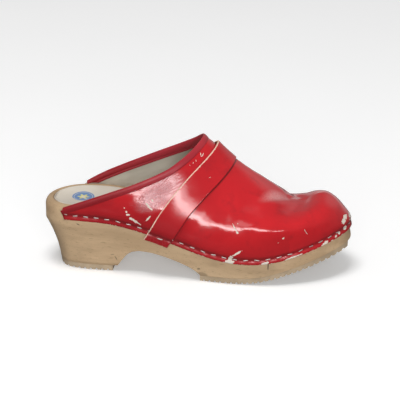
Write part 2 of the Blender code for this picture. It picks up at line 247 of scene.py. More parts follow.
@cache
def rimLengths(side):
    # lengths along the upper's lower edge from its tail to the toe
    start = stationAt(clog["tails"][side], 50, side)
    us = np.linspace(start, lastRow, 400)
    points = np.array([plan(mirrored(u, side), 2.1) for u in us])
    steps = np.hypot(*(points[1:] - points[:-1]).T)
    return us, np.concatenate([[0], np.cumsum(steps)])


def strapAt(z):
    # where the strap's rear and front edges are at a height
    return along("strapEdges", "rear", z), along("strapEdges", "front", z)


def rimLength(u, side):
    us, lengths = rimLengths(side)
    return float(np.interp(u, us, lengths))


def patch(mesh, columns, rows, place):
    # a grid whose corners go where place(column, row) says; returns them by column and row
    made = bmesh.ops.create_grid(mesh, x_segments=columns, y_segments=rows, size=0.5)["verts"]
    corners = {}
    for corner in made:
        i, j = round((corner.co.x + 0.5) * columns), round((corner.co.y + 0.5) * rows)
        corner.co = toWorld(place(i, j))
        corners[i, j] = corner
    return corners


def addObject(name, data):
    made = bpy.data.objects.new(name, data)
    bpy.context.scene.collection.objects.link(made)
    return made


def finishMesh(name, mesh, materials, smooth=40):
    bmesh.ops.remove_doubles(mesh, verts=mesh.verts, dist=0.004 * mm)
    bmesh.ops.recalc_face_normals(mesh, faces=mesh.faces)
    data = bpy.data.meshes.new(name)
    mesh.to_mesh(data)
    mesh.free()
    for finish in materials:
        data.materials.append(finish)
    data.shade_smooth()
    if smooth:
        data.set_sharp_from_angle(angle=math.radians(smooth))
    return addObject(name, data)


def setInputs(node, inputs):
    # sockets are linked, numbers and colours are set
    for name, value in inputs.items():
        if isinstance(value, bpy.types.NodeSocket):
            node.id_data.links.new(value, node.inputs[name])
        else:
            node.inputs[name].default_value = value


def addNode(kind, inputs, tree=None, **settings):
    # the node goes where its inputs come from, unless it has none
    tree = tree or next(value.id_data for value in inputs.values() if isinstance(value, bpy.types.NodeSocket))
    made = tree.nodes.new("ShaderNode" + kind)
    for name, value in settings.items():
        setattr(made, name, value)
    setInputs(made, inputs)
    return made


def calc(operation, *values):
    return addNode("Math", dict(enumerate(values)), operation=operation).outputs[0]


def times(first, second):
    return calc("MULTIPLY", first, second)


def plus(value, extra, factor):
    return calc("ADD", value, times(extra, factor))


def soften(value, low, high, outLow=0.0, outHigh=1.0):
    inputs = {"Value": value, "From Min": low, "From Max": high, "To Min": outLow, "To Max": outHigh}
    return addNode("MapRange", inputs, interpolation_type="SMOOTHSTEP").outputs["Result"]


def mix(share, first, second):
    return addNode("Mix", {0: share, 6: first, 7: second}, data_type="RGBA").outputs[2]


def grain(place, scale, detail=3.0, roughness=0.5, output=0):
    inputs = {"Vector": place, "Scale": scale, "Detail": detail, "Roughness": roughness}
    return addNode("TexNoise", inputs).outputs[output]


def startMaterial(name):
    made = bpy.data.materials.new(name)
    made.use_nodes = True
    place = addNode("TexCoord", {}, made.node_tree).outputs["Object"]
    return made, made.node_tree.nodes["Principled BSDF"], place


def stored(shader, name):
    # a number that the mesh carries at its corners
    return addNode("Attribute", {}, shader.id_data, attribute_name=name).outputs["Fac"]


def stretch(place, scale):
    return addNode("Mapping", {"Vector": place, "Scale": scale}).outputs[0]


def framed(place, x, y, z, halfX, halfY, halfZ, turn=0, heading=0):
    # places counted from a mark's middle in its half sizes
    inputs = {"Vector": place, "Location": toWorld((x, y, z)), "Scale": (halfX * mm, halfY * mm, halfZ * mm),
              "Rotation": (0, -math.radians(turn), math.radians(heading))}
    return addNode("Mapping", inputs, vector_type="TEXTURE").outputs[0]


def spot(place, *mark):
    # distance from a mark's middle, 1 at its edge
    return addNode("VectorMath", {0: framed(place, *mark)}, operation="LENGTH").outputs["Value"]


def lengthwise(place, start, stop, outLow, outHigh):
    # changes between two distances from the heel's back
    ahead = addNode("SeparateXYZ", {0: place}).outputs[0]
    return soften(ahead, *(toWorld((x, 0, 0))[0] for x in (start, stop)), outLow, outHigh)


def dress(shader, base, roughness, height):
    bump = addNode("Bump", {"Height": height, "Strength": 1.0, "Distance": 1.0})
    setInputs(shader, {"Base Color": base, "Roughness": roughness, "Normal": bump.outputs[0]})


# Marks where the lacquer has gone: middle, half sizes and turn in degrees, as seen from the side.
chips = (
    (71.9, -37, 59.5, 0.5, 6, 0.5, 0),
    (73.6, -37, 56.4, 1, 6, 0.8, -40),
    (75, -37, 54, 1.6, 6, 0.9, -5),
    (77.6, -37.5, 50.6, 2.4, 6, 1.3, -25),
    (80.6, -37.5, 48.8, 3, 6, 1.1, -36),
    (83.8, -38, 46.8, 2.6, 6, 0.5, -34),
    (91.8, -38.6, 51.8, 3.6, 6, 0.7, 52),
    (92, -38, 62.2, 3.6, 6, 0.8, -48),
    (94.6, -38, 59.8, 1.5, 6, 0.8, -30),
    (95.2, -38, 66.8, 1.4, 6, 0.6, -60),
    (132.7, -18, 101.6, 0.3, 6, 1.2, 14),
    (134.5, -18, 101.3, 0.25, 6, 1, -16),
    (133.6, -18, 100.2, 1, 6, 0.3, 8),
    (129.3, -23, 97.4, 0.25, 6, 0.8, 20),
    (127.2, -24, 96, 0.2, 6, 0.5, -10),
    (124.6, -26, 94.4, 0.25, 6, 0.25, 0),
    (163.6, -45.5, 49.2, 4.8, 6, 0.6, -58),
    (165.8, -46.5, 46, 1.3, 6, 1.1, -30),
    (165.7, -43.4, 52.9, 0.6, 6, 0.6, 0),
    (203, -46.6, 42.6, 1.2, 6, 0.8, 45),
    (198.9, -47.6, 38.6, 0.5, 6, 0.4, 0),
    (217.1, -34, 52.3, 0.8, 6, 0.8, 0),
    (220.6, -38.5, 46.2, 4.2, 6, 0.25, -60),
    (225.8, -15, 60.1, 0.7, 3, 0.7, 0),
    (165.6, -51, 28.6, 4.6, 6, 0.8, 34),
    (160.6, -51, 24, 3, 6, 1.6, 58),
    (159.4, -51, 20.6, 3.6, 6, 2.2, 4),
    (153.6, -50.5, 19.6, 3.4, 6, 0.9, 2),
    (188.4, -51, 20.8, 4, 6, 1, 14),
    (211.6, -46, 25.4, 7.6, 8, 0.7, 17),
    (236.2, -33, 33, 3.4, 6, 1.6, 36),
    (244.8, -25.6, 36.9, 0.8, 4, 1.1, -20),
    (247.2, -22.4, 38.5, 0.9, 4, 1.1, 20),
    (251.8, -15.2, 41, 1.8, 4, 1.6, 30),
    (255.4, -4, 44.2, 0.8, 2, 0.9, 0),
    (251.7, -9.4, 48.3, 2.6, 4.2, 2, 20),
    (250.3, -14, 46.3, 2.6, 4.4, 2.1, 20),
    (254.4, 1, 45.6, 3, 4.5, 2.4, 50),
    (66, 38, 52, 4, 6, 0.6, 20),
    (182, 47, 40, 1.6, 6, 0.8, -30),
    (216, 44, 31, 5, 8, 1.2, 12),
    (252, 12, 42, 3, 5.5, 1.8, 20),
)
strapChips = (
    (141.4, -29.2, 85.8, 0.7, 6, 0.2, 20),
    (105.6, -41, 64, 2.8, 6, 0.8, 52),
    (108.6, -41, 67.6, 1.6, 6, 0.6, 50),
    (103.4, -41, 62.2, 1.4, 6, 0.5, 20),
)
# Dark rubs and slashes that only bruised the lacquer.
scuffs = (
    (94.1, -36, 74.7, 1.1, 6, 0.3, 62),
    (97.6, -37, 69.2, 1, 6, 0.4, 20),
    (101.7, -37, 69.4, 1.3, 6, 0.35, 55),
    (90.4, -37, 68.6, 1, 6, 0.25, -40),
    (106, -36, 76.2, 1.2, 6, 0.2, 58),
    (87.8, -37, 65, 0.9, 6, 0.25, 15),
)


def patent(name, look, marks=()):
    # lacquered leather: colour drifts, fine crackle, chips down to the pale hide, a darker staple line,
    # painted shade low down and along the strap, and a painted sheen
    made, shader, place = startMaterial(name)
    blotches = grain(place, 70, 4, 0.6)
    fine = grain(place, 900, 2, 0.6)
    wobble = grain(place, 500, 3, 0.6)
    base = mix(soften(grain(place, 16, 2), 0.35, 0.65), look["deep"], look["bright"])
    base = mix(soften(blotches, 0.5, 0.75, 0, look["stain"]), base, look["dark"])
    height = plus(times(fine, look["peel"]), blotches, look["waves"])
    roughness = soften(blotches, 0.3, 0.7, look["gloss"], look["gloss"] + 0.05)
    # darker and duller towards the back
    if "darkerBack" in look:
        back = lengthwise(place, 48, 100, 0.9, 0)
        base = mix(back, base, look["darkerBack"])
        roughness = plus(roughness, back, 0.1)
    if marks:
        # a net of cracks on one patch, fine ribs that fan out from a point on another
        above = stored(shader, "above")
        warp = {0: grain(place, 260, 2, output="Color"), 1: (look["warp"],) * 3, 2: place}
        warped = addNode("VectorMath", warp, operation="MULTIPLY_ADD").outputs[0]
        cells = addNode("TexVoronoi", {"Vector": warped, "Scale": 620}, feature="DISTANCE_TO_EDGE")
        crazed = soften(plus(spot(place, *look["crazed"]), blotches, 0.7), 1, 1.5, 1, 0)
        crazed = times(soften(cells.outputs["Distance"], 0, 0.12, 1, 0), crazed)
        height = plus(height, crazed, -look["crackDepth"])
        parts = addNode("SeparateXYZ", {0: place}).outputs
        fromX, _, fromZ = toWorld(look["fanFrom"])
        angle = calc("ARCTAN2", calc("SUBTRACT", parts[2], fromZ), calc("SUBTRACT", parts[0], fromX))
        rays = calc("SINE", plus(times(angle, look["fanRibs"]), wobble, 5))
        fanned = soften(spot(place, *look["fan"]), 0.5, 1.1, 1, 0)
        fanned = times(fanned, soften(blotches, 0.35, 0.55))
        height = plus(height, times(rays, fanned), look["ribHeight"])
        base = mix(times(soften(rays, 0.1, 0.9, 0, 0.3), fanned), base, look["dark"])
        base = mix(times(crazed, 0.5), base, look["dark"])
        for mark in look.get("scuffs", ()):
            rubbed = soften(plus(spot(place, *mark), wobble, 0.9), 1.1, 1.6, 0.8, 0)
            base = mix(rubbed, base, look["dark"])
            height = plus(height, rubbed, -look["chipDepth"])
        # a pale, dulled bloom; on the quarter it is also a painted sheen
        if "bloomAndPaintedSheen" in look:
            bloomAndPaintedSheen = look["bloomAndPaintedSheen"]
            dullAndSheen = plus(spot(place, *bloomAndPaintedSheen["mark"]), blotches, bloomAndPaintedSheen["ragged"])
            dullAndSheen = times(soften(dullAndSheen, *bloomAndPaintedSheen["fade"], 1, 0), soften(fine, 0.3, 0.6, 0.6, 1))
            base = mix(times(dullAndSheen, bloomAndPaintedSheen["share"]), base, bloomAndPaintedSheen["tone"])
            roughness = plus(roughness, dullAndSheen, bloomAndPaintedSheen["rough"])
        # painted shade: the red darkens towards the lower edge and inside one painted shadow; it is also
        # darker along the staple line
        paintedShade = calc("MAXIMUM", soften(above, *look["paintedShade"]), soften(above, 3.4, 4.6, 0.62, 0))
        paintedShade = plus(paintedShade, calc("SUBTRACT", blotches, 0.5), 0.25)
        if "shadow" in look:
            paintedShade = times(paintedShade, soften(spot(place, *look["shadow"]), 0.5, 1.2, look["shadowShare"], 1))
        base = mix(paintedShade, look["old"], base)
        groove = calc("ABSOLUTE", calc("SUBTRACT", above, look["grooveAt"]))
        groove = times(soften(groove, 0.2, 2.6, 1, 0), soften(wobble, 0.25, 0.7, 0.3, 1))
        base = mix(times(groove, look["groove"]), base, look["stapleLineAndStrapShadow"])
        lip = soften(above, look["grooveAt"] - 1.2, look["grooveAt"] + 0.6, look["lip"], 0)
        roughness = calc("ADD", roughness, lip)
        if "raw" in look:
            fromRear = plus(stored(shader, "fromRear"), calc("SUBTRACT", wobble, 0.5), 1.6)
            worn = soften(fromRear, look["raw"] + 0.3, look["raw"] - 0.2, 0, 1)
            base = mix(worn, base, look["tan"])
            roughness = plus(roughness, worn, 0.3)
        else:
            # painted shadow on the upper along the strap's edges and under it
            base = mix(soften(stored(shader, "fromStrap"), 0, 0.8, 0.6, 0), base, look["stapleLineAndStrapShadow"])
        # the chips, with ragged edges, and the frayed lower edge
        bare = spot(place, *marks[0])
        for mark in marks[1:]:
            bare = calc("MINIMUM", bare, spot(place, *mark))
        ragged = plus(times(wobble, 1.5), fine, 0.7)
        bare = soften(calc("ADD", bare, ragged), 1.97, 2.1, 1, 0)
        frayed = soften(plus(above, wobble, 2.4), 1.15, 1.45, 1, 0)
        bare = calc("MAXIMUM", bare, times(frayed, soften(blotches, 0.42, 0.52)))
        base = mix(bare, base, mix(fine, look["hideDark"], look["hide"]))
        roughness = plus(roughness, bare, 0.5)
        height = plus(height, bare, -look["chipDepth"])
    dress(shader, base, roughness, height)
    setInputs(shader, {"IOR": 1.5, "Specular IOR Level": look["shine"]})
    return made


redLook = {
    "bright": (0.63, 0.016, 0.022, 1),
    "deep": (0.52, 0.012, 0.018, 1),
    "dark": (0.25, 0.012, 0.018, 1),
    # darker along the staple line, and the strap's painted shadow
    "stapleLineAndStrapShadow": (0.09, 0.012, 0.012, 1),
    # painted shade colour, mixed in low on the upper and in the painted shadow
    "old": (0.1, 0.01, 0.014, 1),
    "hide": (0.92, 0.86, 0.78, 1),
    "hideDark": (0.74, 0.63, 0.5, 1),
    "stain": 0.35,
    "gloss": 0.09,
    "shine": 0.5,
    "peel": 0.00001,  # heights and depths are in metres
    "waves": 0.00012,
    "crackDepth": 0.00009,
    "chipDepth": 0.00012,
    "ribHeight": 0.0001,
    "fanRibs": 95,
    "fanFrom": (84, 0, 62),
    "fan": (108, -35, 80, 15, 12, 8, 35),
    "crazed": (93, -38, 67, 16, 12, 9, 25),
    "warp": 0.0016,
    "paintedShade": (4.5, 26, 0.7, 1),  # painted shade: darker low down, easing off between the first and the second height above the edge
    "grooveAt": 4.7,
    "groove": 0.6,
    "lip": 0.12,  # extra dullness below the staples
}


def hideFinish(name, light, dark, scale, shaded=None):
    # bare or lining leather: mottled and matt, with a fibrous nap
    made, shader, place = startMaterial(name)
    fibres = grain(place, scale, 4, 0.65)
    base = mix(soften(grain(place, 30), 0.3, 0.7), dark, light)
    base = mix(soften(fibres, 0.55, 0.75, 0, 0.4), base, dark)
    if shaded:
        # painted shade: the lining darkens deeper inside, towards the front
        base = mix(lengthwise(place, 90, 132, 0, 0.85), base, shaded)
    dress(shader, base, 0.75, times(fibres, 0.00012))
    return made


def cutEdge():
    # the strap's cut edge: pale at the back, dark at the front as painted shade
    made, shader, place = startMaterial("cut edge of the strap")
    fibres = grain(place, 900, 4, 0.65)
    pale = mix(fibres, (0.62, 0.36, 0.22, 1), (0.85, 0.6, 0.42, 1))
    # painted shade on the front cut edge
    dark = mix(fibres, (0.16, 0.014, 0.016, 1), (0.34, 0.03, 0.03, 1))
    base = mix(soften(stored(shader, "fromRear"), 14, 20), pale, dark)
    dress(shader, base, 0.7, times(fibres, 0.0001))
    return made


woodLook = {
    "pale": (0.74, 0.52, 0.31, 1),
    "warm": (0.61, 0.415, 0.24, 1),
    "fleck": (0.3, 0.175, 0.085, 1),
    "grime": (0.13, 0.085, 0.05, 1),
    "paintedRimShade": 0.3,  # painted shade: darker round the top of the heel
    "pores": 0.00006,
    "nicks": 0.0003,
}
# nicks and stains in the wood, with how deep and dark they are
woodMarks = (
    (32.2, -33, 41.5, 1.6, 6, 0.5, -25, 0.8),
    (62.9, -29.3, 11.7, 0.5, 6, 2.2, 30, 0.6),
    (60, -29.3, 14.7, 1.8, 6, 0.4, 10, 0.5),
    (190.9, -49, 17.5, 0.5, 6, 3.6, 0, 0.9),
    (136.3, -43, 5.2, 5, 8, 2.6, 0, 0.45),
    (133.5, -42, 10.5, 1.5, 6, 1, 20, 0.6),
)


def beech():
    # beech: faint rings, short brown flecks along the grain, patchy grime, grime in the nicks, and painted
    # shade round the top of the heel
    made, shader, place = startMaterial("beech")
    look = woodLook
    rings = grain(stretch(place, (6, 40, 40)), 2.2, 5, 0.55)
    flecks = grain(stretch(place, (1, 5.5, 5.5)), 190, 2)
    pores = grain(stretch(place, (1, 9, 9)), 420, 2)
    base = mix(soften(rings, 0.35, 0.65), look["warm"], look["pale"])
    base = mix(soften(flecks, 0.6, 0.72, 0, 0.4), base, look["fleck"])
    base = mix(soften(pores, 0.6, 0.75, 0, 0.3), base, look["fleck"])
    base = mix(soften(grain(place, 22), 0.55, 0.8, 0, 0.3), base, look["grime"])
    height = times(soften(pores, 0.5, 0.75, 1, 0), look["pores"])
    for *mark, depth in woodMarks:
        near = soften(spot(place, *mark), 0.6, 1.2, 1, 0)
        base = mix(times(near, depth), base, look["grime"])
        height = plus(height, near, -look["nicks"] * depth)
    upwards = addNode("SeparateXYZ", {0: place}).outputs[2]
    # painted shade round the top of the heel, under the upper's overhang
    base = mix(soften(upwards, 0.05, 0.0545, 0, look["paintedRimShade"]), base, look["grime"])
    dress(shader, base, 0.55, height)
    return made


def rubber(name, base, dark):
    made, shader, place = startMaterial(name)
    grit = grain(place, 1300, 3, 0.6)
    tone = mix(soften(grain(place, 60, 4, 0.6), 0.35, 0.7), base, dark)
    tone = mix(soften(grit, 0.6, 0.75, 0, 0.5), tone, dark)
    dress(shader, tone, 0.8, times(grit, 0.0001))
    return made


insoleLook = {
    "leather": (0.7, 0.64, 0.55, 1),
    "soiled": (0.5, 0.43, 0.35, 1),
    "blue": (0.06, 0.2, 0.47, 1),
    "yellow": (0.72, 0.66, 0.2, 1),
    "stamp": (30.4, 6.5, 52, 9.4, 9, 30),
    "petals": 6,
    "petalReach": (0.4, 0.14),  # middle and swing, as shares of the stamp
    "border": 0.84,
}


def stampedLeather():
    # pale insole leather with a worn oval stamp: a small yellow flower on blue
    made, shader, place = startMaterial("stamped insole leather")
    look = insoleLook
    fibres = grain(place, 900, 3, 0.6)
    base = mix(soften(grain(place, 25), 0.4, 0.75, 0, 0.6), look["leather"], look["soiled"])
    base = mix(soften(fibres, 0.55, 0.8, 0, 0.25), base, look["soiled"])
    x, y, _ = addNode("SeparateXYZ", {0: framed(place, *look["stamp"])}).outputs
    reach = calc("SQRT", plus(times(x, x), y, y))
    middle, swing = look["petalReach"]
    petals = plus(middle, calc("COSINE", times(calc("ARCTAN2", y, x), look["petals"])), swing)
    flower = soften(calc("SUBTRACT", reach, petals), -0.02, 0.02, 1, 0)
    heart = soften(reach, 0.16, 0.2, 1, 0)
    line = soften(calc("ABSOLUTE", calc("SUBTRACT", reach, look["border"])), 0.01, 0.04, 0.8, 0)
    stamp = mix(flower, look["blue"], look["yellow"])
    stamp = mix(calc("MAXIMUM", heart, line), stamp, look["leather"])
    faded = soften(plus(grain(place, 160, 4, 0.65), y, 0.12), 0.3, 0.42)
    share = times(times(soften(reach, 0.97, 1.02, 1, 0), faded), 0.85)
    dress(shader, mix(share, base, stamp), 0.6, times(fibres, 0.00005))
    return made


def steel():
    made, shader, place = startMaterial("dull steel")
    scratches = grain(place, 800, 3, 0.6)
    base = mix(scratches, (0.5, 0.48, 0.44, 1), (0.8, 0.78, 0.74, 1))
    roughness = soften(scratches, 0.3, 0.7, 0.3, 0.5)
    setInputs(shader, {"Base Color": base, "Metallic": 0.45, "Roughness": roughness})
    return made


def chipsBetween(start, stop):
    return [chip for chip in chips if start < chip[0] < stop]


rearLook = {
    **redLook,
    "scuffs": scuffs,
    "shadow": (70, -37, 49, 52, 20, 17, -12),
    "shadowShare": 0.97,
    # the quarter's bloom is a painted sheen, and duller
    "bloomAndPaintedSheen": {"mark": (102, -35, 73.5, 24, 14, 12, 38), "share": 0.44, "ragged": 0.5,
              "fade": (0.7, 1.45), "rough": 0.13, "tone": (0.85, 0.62, 0.64, 1)},
}
ballLook = {
    **redLook,
    "peel": 0.000018,
    "bloomAndPaintedSheen": {"mark": (194.5, -16.5, 65.8, 20, 7, 10, 0, 54), "share": 0.42, "ragged": 0.2,
              "fade": (0.3, 1.3), "rough": 0.1, "tone": (0.85, 0.56, 0.54, 1)},
}
# less painted shade low on the toe
toeLook = {**redLook, "paintedShade": (4.5, 20, 0.8, 1)}
strapRed = {
    **redLook,
    "gloss": 0.13,
    "grooveAt": 7.4,
    "groove": 0.55,
    # the strap's painted shade reaches higher up
    "paintedShade": (6, 34, 0.62, 1),
    "raw": 0.8,  # width of the rubbed rear edge
    "tan": (0.86, 0.56, 0.45, 1),
}
bindingRed = {
    **redLook,
    "bright": (0.48, 0.045, 0.056, 1),
    "deep": (0.37, 0.028, 0.04, 1),
    "darkerBack": (0.3, 0.014, 0.02, 1),
    "gloss": 0.3,
    "shine": 0.18,
    "peel": 0.00002,
}
rearLeather = patent("red leather, quarters", rearLook, chipsBetween(0, 140))
ballLeather = patent("red leather, vamp", ballLook, chipsBetween(140, 214))
toeLeather = patent("red leather, toe", toeLook, chipsBetween(200, 260))
strapLeather = patent("red strap leather", strapRed, strapChips)
bindingLeather = patent("red binding leather", bindingRed)
lining = hideFinish("grey lining", (0.68, 0.64, 0.54, 1), (0.53, 0.49, 0.41, 1), 500,
                    (0.26, 0.2, 0.14, 1))
rawHide = hideFinish("cut edge of the hide", (0.68, 0.5, 0.33, 1), (0.42, 0.27, 0.16, 1), 900)
strapEdge = cutEdge()
wood = beech()
print("materials made")

upperLook = {
    "collarColumns": 100,
    "frontColumns": 160,
    "flangeRows": 14,
    "rows": 46,
    "underStrap": 140,  # where the charts of marks change over
    "toeJoin": 208,
    "stapleHeight": 3.9,
    "firstStaple": 4,  # from the tail
    "stapleRun": 9.1,
    "swell": (0.45, 8.5, 4.0),  # fullness above the staples: how much, where and how wide
    "pinch": (0.55, 1.5, 3.6),  # pull of the staples: how much, how wide and how long
    "pinchBetween": 0.45,  # share of it that is left between two staples
    "curl": (0.1, 4.0),  # the cut edge turns out
    "lean": 0.9,
    "waves": (0.35, 45),  # height and how close together
    "ripples": (0.12, 140),
}


# Soft folds where the shoe bends: a line's points, half width and depth in mm; below 0 it is a ridge.
creases = (
    (((203, 8, 62), (204, 0, 62.5), (201, -9, 64), (194, -20, 67), (184, -30, 67.5), (172, -36, 66)),
     5.5, 1.2),
    (((212, 5, 60.2), (209, -10, 62), (200, -24, 64), (191, -31.5, 65.5), (182, -36, 66.5)), 4.5, -0.9),
    (((200, -7, 64.8), (205, 0, 62.6), (211, 5, 60.4)), 1.5, 1.3),
    (((214, 4, 59), (210, 14, 58.5), (204, 24, 57), (192, 33, 55)), 5.5, 1.5),
    (((146, -45.5, 52), (156, -48, 51), (168, -49.5, 50.5), (184, -50, 49.5), (198, -48, 49.6),
      (207, -45.5, 49.8)), 3.6, -0.25),
    (((156, -47, 52), (172, -47.5, 47), (190, -46, 47)), 5, 0.25),
    (((97, -36, 73), (103, -35, 79), (107, -34, 84)), 1.6, 0.22),
    (((93, -36, 71), (97, -36, 78), (100, -35, 82)), 1.4, 0.18),
    (((101, -36, 70), (110, -34, 77), (115, -32, 83)), 1.8, 0.22),
    (((60, -36, 52), (85, -37, 58.2), (112, -39, 57)), 11, -1.7),
    (((62, -36, 64), (70, -36.5, 69), (77, -37, 69.5), (84, -37.5, 66.5)), 6.5, -0.3),
    (((78, 33, 62), (92, 33, 70), (104, 32, 74)), 4, 0.4),
)


def creased(points):
    # how deep the folds are at each of these points, in mm
    depth = np.zeros(len(points))
    for line, wide, deep in creases:
        line = np.array(line, dtype=float)
        nearest = np.full(len(points), 1e9)
        for start, stop in zip(line, line[1:]):
            run = stop - start
            share = np.clip((points - start) @ run / (run @ run), 0, 1)
            nearest = np.minimum(nearest, np.linalg.norm(points - start - share[:, None] * run, axis=1))
        depth += deep * np.exp(-((nearest / wide) ** 2))
    return depth


def staplePlaces(side):
    # lengths along the lower edge at which staples sit
    first = upperLook["firstStaple"]
    length = rimLengths(side)[1][-1] - first
    count = round(length / upperLook["stapleRun"])
    return [first + length / count * i for i in range(count)]


def tuckAt(length, above, places):
    # pull of the staples on the leather, in mm outwards
    look = upperLook
    swell, swellAt, swellWide = look["swell"]
    pinch, pinchWide, pinchLong = look["pinch"]
    curl, curlWide = look["curl"]
    between = look["pinchBetween"]
    nearest = min(abs(length - place) for place in places)
    pull = between + (1 - between) * math.exp(-((nearest / pinchLong) ** 4))
    line = math.exp(-(((above - look["stapleHeight"]) / pinchWide) ** 2))
    cheek = math.exp(-(((above - swellAt) / swellWide) ** 2))
    edge = max(0.0, 1 - above / curlWide) ** 2
    return swell * cheek + curl * edge - line * pinch * pull


def addLayers(mesh, *names):
    # numbers kept at the corners, which the materials read
    return [mesh.verts.layers.float.new(name) for name in names]


def faceOutwards(mesh):
    bmesh.ops.recalc_face_normals(mesh, faces=mesh.faces)
    highest = max(mesh.faces, key=lambda face: face.calc_center_median().z)
    if highest.normal.z < 0:
        bmesh.ops.reverse_faces(mesh, faces=mesh.faces)
    mesh.normal_update()


def addWall(made, thickness, inside, rim):
    # the leather's thickness; inside and rim count materials onwards from the outer face's
    leather = made.modifiers.new("wall", "SOLIDIFY")
    leather.thickness = thickness * mm
    leather.offset = -1
    leather.material_offset = inside
    leather.material_offset_rim = rim


def makeUpper():
    mesh = bmesh.new()
    length, above, flank, fromStrap = addLayers(mesh, "length", "above", "flank", "fromStrap")
    look = upperLook
    rows = [-1 + i / look["flangeRows"] for i in range(look["flangeRows"])]
    rows += [i / look["rows"] for i in range(look["rows"] + 1)]
    for side in (-1, 1):
        columns = [collar(i / look["collarColumns"], 0, side) for i in range(look["collarColumns"] + 1)]
        tail, front = columns[0][0], columns[-1][0]
        last = look["frontColumns"]
        columns += [(front + (lastRow - front) * i / last, 1.0) for i in range(1, last + 1)]

        def stationOf(i, j, leanEnd=front):
            # the tops of the columns crowd at the collar's front, so their feet stand ahead of them
            u, top = columns[i]
            if top < 0:
                return u
            lean = min(max(i / look["collarColumns"] - 0.1, 0) ** 2 / 0.81, 1)
            if u > leanEnd:
                lean = (1 - (u - front) / (lastRow - front)) ** 2
            return u + look["lean"] * lean * (1 - max(rows[j], 0))

        def place(i, j):
            u, top = columns[i]
            if top < 0:
                share = min(rows[j], 0) * (1 + top) + top
            else:
                share = rows[j] if rows[j] <= 0 else rows[j] * top
            slant = 0.16 * max(0.0, -rows[j]) * max(0.0, 1 - (u - tail) / 0.6)
            return skin(mirrored(stationOf(i, j), side) - side * slant, share)

        corners = patch(mesh, len(columns) - 1, len(rows) - 1, place)
        for i in range(len(columns)):
            height = 0.0
            for j in range(len(rows)):
                corner = corners[i, j]
                if j:
                    height += (corner.co - corners[i, j - 1].co).length / mm
                corner[length] = rimLength(stationOf(i, j, lastRow), side)
                corner[above], corner[flank] = height, side
                x, _, z = corner.co / mm + Vector(clog["origin"])
                strapRear, strapFront = strapAt(z)
                corner[fromStrap] = max(x - strapFront, strapRear - x)
    bmesh.ops.remove_doubles(mesh, verts=mesh.verts, dist=0.01 * mm)
    faceOutwards(mesh)
    places = {side: staplePlaces(side) for side in (-1, 1)}
    folds = creased(np.array([corner.co for corner in mesh.verts]) / mm + clog["origin"])
    moves = []
    for corner, fold in zip(mesh.verts, folds):
        side = -1 if corner[flank] < 0 else 1
        out = tuckAt(corner[length], corner[above], places[side]) - fold
        for height, closeness in (look["waves"], look["ripples"]):
            out += height * noise.noise(corner.co * closeness) * min(corner[above] / 12, 1)
        moves.append(corner.normal * out * mm)
    for corner, move in zip(mesh.verts, moves):
        corner.co += move
    for face in mesh.faces:
        x = face.calc_center_median().x / mm + clog["origin"][0]
        face.material_index = (x >= look["underStrap"]) + (x >= look["toeJoin"])
    finishes = [rearLeather, ballLeather, toeLeather] + [lining] * 3 + [rawHide] * 3
    made = finishMesh("clog_upper", mesh, finishes, 0)
    addWall(made, clog["leather"], 3, 6)
    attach(made, "root")
    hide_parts("upper")


makeUpper()
print("upper made")

strapLook = {
    "sideRows": 60,
    "columns": 22,
    "edge": 0.4,
    "rearRise": 0.8,  # the rear edge stands off the upper
    "belly": 0.25,
    "waves": (0.2, 60),
}


def makeStrap():
    look = strapLook
    mesh = bmesh.new()
    length, above, fromRear = addLayers(mesh, "length", "above", "fromRear")
    low = -1 - clog["strapTail"] / stations["flange"][0]
    half = [low + (1 - low) * (i / look["sideRows"]) for i in range(look["sideRows"] + 1)]
    lines = [(-1, share) for share in half] + [(1, share) for share in reversed(half[:-1])]

    @cache
    def ends(side, share):
        def behind(u, edge):
            x, _, z = skin(mirrored(u, side), share)
            return x < strapAt(z)[edge]

        return [solve(lambda u: behind(u, edge), 3.0, 12.0) for edge in (0, 1)]

    def stationOf(i, j):
        side, share = lines[i]
        forward = j / look["columns"]
        rear, front = ends(side, share)
        return side, share, forward, rear * (1 - forward) + front * forward

    def place(i, j):
        side, share, forward, u = stationOf(i, j)
        off = clog["gap"] + clog["strapLeather"] + look["rearRise"] * (1 - forward) ** 3
        off += clog["strapLift"] * (1 - forward) ** 1.5 * max(share, 0) ** 4
        return skin(mirrored(u, side), share, off)

    corners = patch(mesh, len(lines) - 1, look["columns"], place)
    for (i, j), corner in corners.items():
        side, share, forward, u = stationOf(i, j)
        corner[length] = rimLength(u, side)
        rungs = range(min(i, len(lines) - 1 - i))
        corner[above] = sum((corners[k + 1, j].co - corners[k, j].co).length for k in rungs) / mm
        corner[fromRear] = (corner.co - corners[i, 0].co).length / mm
    faceOutwards(mesh)
    height, closeness = look["waves"]
    moves = []
    for (i, j), corner in corners.items():
        side, share, forward, u = stationOf(i, j)
        upwards = max(corner[above] - clog["strapTail"] + 1.0, 0.6)
        out = tuckAt(corner[length], upwards, staplePlaces(side))
        middle = 4 * forward * (1 - forward)
        out += look["belly"] * middle + height * noise.noise(corner.co * closeness) * middle
        moves.append((corner, corner.normal * out * mm))
    for corner, move in moves:
        corner.co += move
    made = finishMesh("clog_strap", mesh, [strapLeather, lining, strapEdge], 0)
    addWall(made, clog["strapLeather"], 1, 2)
    edges = made.modifiers.new("edge", "BEVEL")
    edges.width = look["edge"] * mm
    edges.segments = 2
    edges.limit_method = "ANGLE"
    edges.angle_limit = math.radians(50)
    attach(made, "root")
    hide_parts("strap")


makeStrap()
print("strap made")

bindingLook = {
    "columns": 110,  # each side
    # width down from the edge and height off the leather, round the folded strip
    "outer": ((3.6, 0.25), (3.4, 0.65), (2.5, 0.85), (1.3, 1.05), (0.4, 1.05)),
    "inner": ((0.4, 1.05), (1.3, 1.1), (2.2, 0.8), (2.8, 0.55), (3.5, 0.9), (4.4, 0.9), (4.8, 0.7), (5, 0.5)),
    "under": 0.25,  # its own inner face off the leather
    "crown": 1.1,
    "crownTurns": (30, 60, 90, 120, 150),
}


